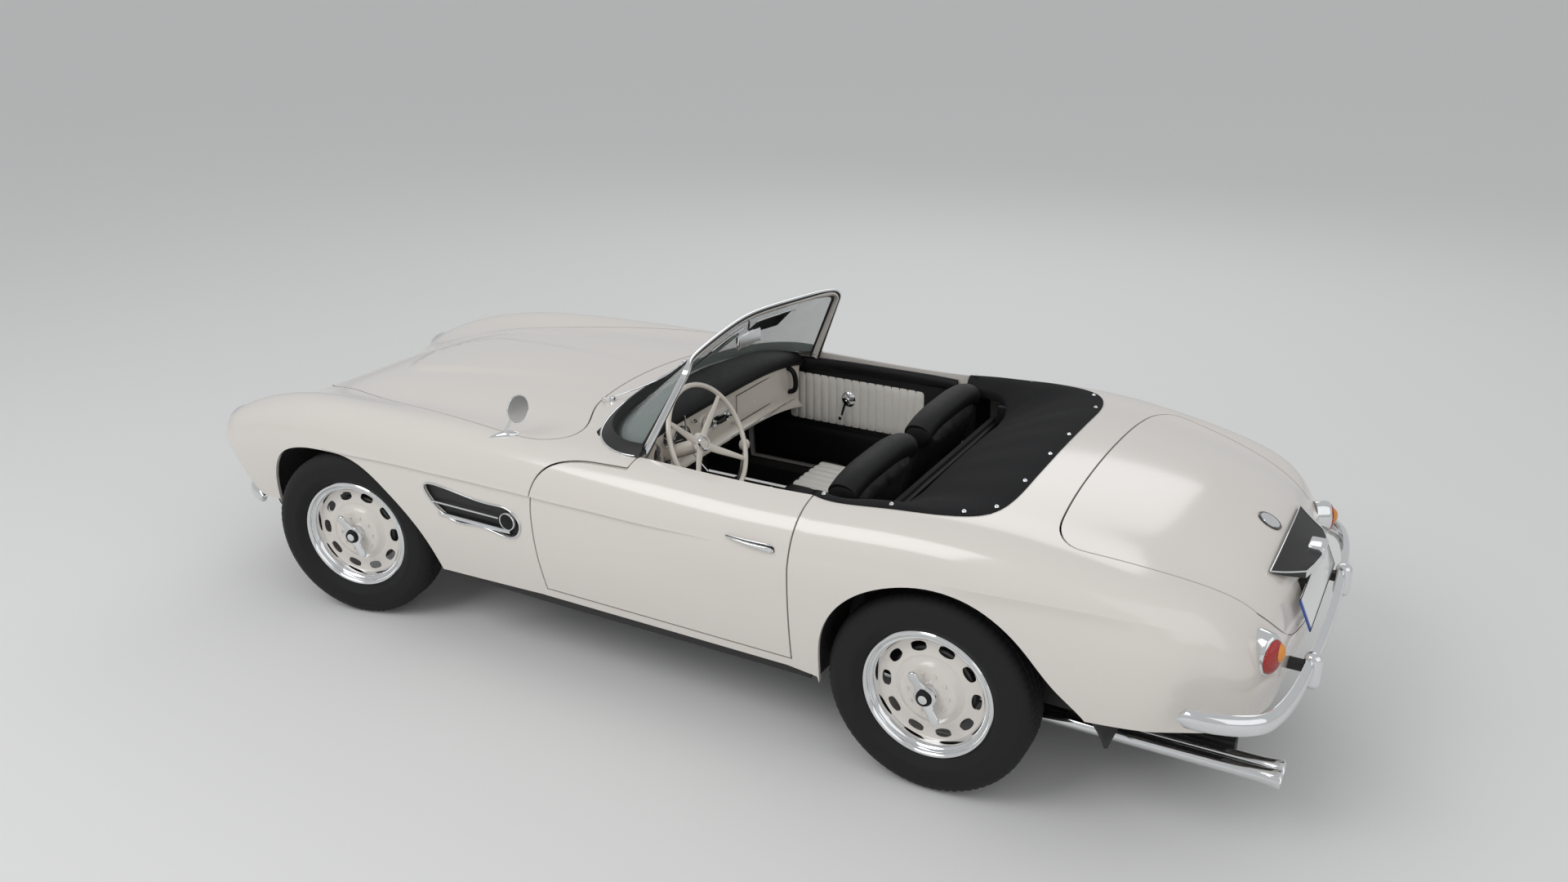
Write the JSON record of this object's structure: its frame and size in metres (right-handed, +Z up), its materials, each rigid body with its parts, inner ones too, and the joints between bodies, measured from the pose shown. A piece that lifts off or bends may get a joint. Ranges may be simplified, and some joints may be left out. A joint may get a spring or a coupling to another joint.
{
  "type": "roadster convertible",
  "caption": "Open two-seat roadster with long bonnet, curved wings, wrap-round windscreen, hood stowed under a soft cover, steered front wheels, opening doors, bonnet and boot lid.",
  "frame": {"origin": "on the ground below the middle of the car", "axes": "+X forward, +Y to the left side of the car, +Z up"},
  "size_m": [4.38, 1.7304, 1.246],
  "materials": {
    "paint": "gloss",
    "chrome": "polished",
    "black_metal": "satin",
    "steel": "satin",
    "iron": "satin",
    "tyre": "matt",
    "glass": "clear",
    "red_lens": "gloss",
    "black_leather": "satin",
    "white_leather": "satin",
    "black_cloth": "matt",
    "ivory_plastic": "gloss",
    "plate_white": "satin"
  },
  "bodies": {
    "body": {"chassis_frame": "black_metal", "dashboard": "paint", "engine": "iron", "exhaust": "chrome", "floor_pan": "black_metal", "front_bumper": "chrome", "front_suspension": "steel", "front_wing_left": "paint", "front_wing_right": "paint", "gear_lever": "ivory_plastic", "grille": "chrome", "headlamp_lenses": "glass", "headlamp_rims": "chrome", "hood_well_cover": "black_cloth", "nose_panel": "paint", "rear_axle": "iron", "rear_bumper": "chrome", "rear_deck": "paint", "rear_wing_left": "paint", "rear_wing_right": "paint", "scuttle_panel": "paint", "seat_backs": "black_leather", "seat_cushions": "black_leather", "side_vents": "chrome", "sill_frames": "paint", "steering_column": "black_metal", "tail_lamps": "red_lens", "tail_panel": "paint", "wheel_housings": "black_metal", "windscreen_frame": "chrome", "windscreen_glass": "glass", "wing_mirror": "chrome"},
    "bonnet": {"bonnet": "paint"},
    "boot_lid": {"boot_lid": "paint", "number_plate": "plate_white"},
    "steering_wheel": {"steering_wheel": "ivory_plastic"},
    "door_left": {"door_left": "paint", "door_trim_left": "white_leather", "door_handle_left": "chrome"},
    "knuckle_left": {"knuckle_left": "steel"},
    "wheel_front_left": {"tyre_front_left": "tyre", "wheel_front_left": "paint"},
    "wheel_rear_left": {"tyre_rear_left": "tyre", "wheel_rear_left": "paint"},
    "door_right": {"door_right": "paint", "door_trim_right": "white_leather", "door_handle_right": "chrome"},
    "knuckle_right": {"knuckle_right": "steel"},
    "wheel_front_right": {"tyre_front_right": "tyre", "wheel_front_right": "paint"},
    "wheel_rear_right": {"tyre_rear_right": "tyre", "wheel_rear_right": "paint"}
  },
  "joints": [
    {"name": "wheel_front_left_spin", "type": "hinge", "parent": "knuckle_left", "child": "wheel_front_left", "pos_m": [1.36251, 0.72087, 0.345], "axis": [-0.2079, 0.9781, 0], "continuous": true},
    {"name": "wheel_rear_left_spin", "type": "hinge", "parent": "body", "child": "wheel_rear_left", "pos_m": [-1.11, 0.7125, 0.345], "axis": [0, 1, 0], "continuous": true},
    {"name": "steer_left", "type": "hinge", "parent": "body", "child": "knuckle_left", "pos_m": [1.378, 0.648, 0.345], "axis": [0, 0, 1], "range_deg": [-44, 20]},
    {"name": "door_left_hinge", "type": "hinge", "parent": "body", "child": "door_left", "pos_m": [0.40655, 0.82053, 0.712], "axis": [0, 0, -1], "range_deg": [0, 65]},
    {"name": "wheel_front_right_spin", "type": "hinge", "parent": "knuckle_right", "child": "wheel_front_right", "pos_m": [1.39349, -0.72087, 0.345], "axis": [-0.2079, 0.9781, 0], "continuous": true},
    {"name": "wheel_rear_right_spin", "type": "hinge", "parent": "body", "child": "wheel_rear_right", "pos_m": [-1.11, -0.7125, 0.345], "axis": [0, 1, 0], "continuous": true},
    {"name": "steer_right", "type": "hinge", "parent": "body", "child": "knuckle_right", "pos_m": [1.378, -0.648, 0.345], "axis": [0, 0, 1], "range_deg": [-44, 20]},
    {"name": "door_right_hinge", "type": "hinge", "parent": "body", "child": "door_right", "pos_m": [0.40655, -0.82053, 0.712], "axis": [0, 0, 1], "range_deg": [0, 65]},
    {"name": "steering_wheel_turn", "type": "hinge", "parent": "body", "child": "steering_wheel", "pos_m": [-0.06, 0.355, 0.858], "axis": [-0.9063, 0, 0.4226], "range_deg": [-715, 330]},
    {"name": "bonnet_hinge", "type": "hinge", "parent": "body", "child": "bonnet", "pos_m": [2.03655, 0, 0.66211], "axis": [0, 1, 0], "range_deg": [0, 60]},
    {"name": "boot_lid_hinge", "type": "hinge", "parent": "body", "child": "boot_lid", "pos_m": [-1.40245, 0, 0.92739], "axis": [0, 1, 0], "range_deg": [0, 60]}
  ],
  "couplings": [
    {"joint": "steer_right", "follows": "steer_left", "ratio": 1},
    {"joint": "steering_wheel_turn", "follows": "steer_left", "ratio": 16}
  ]
}
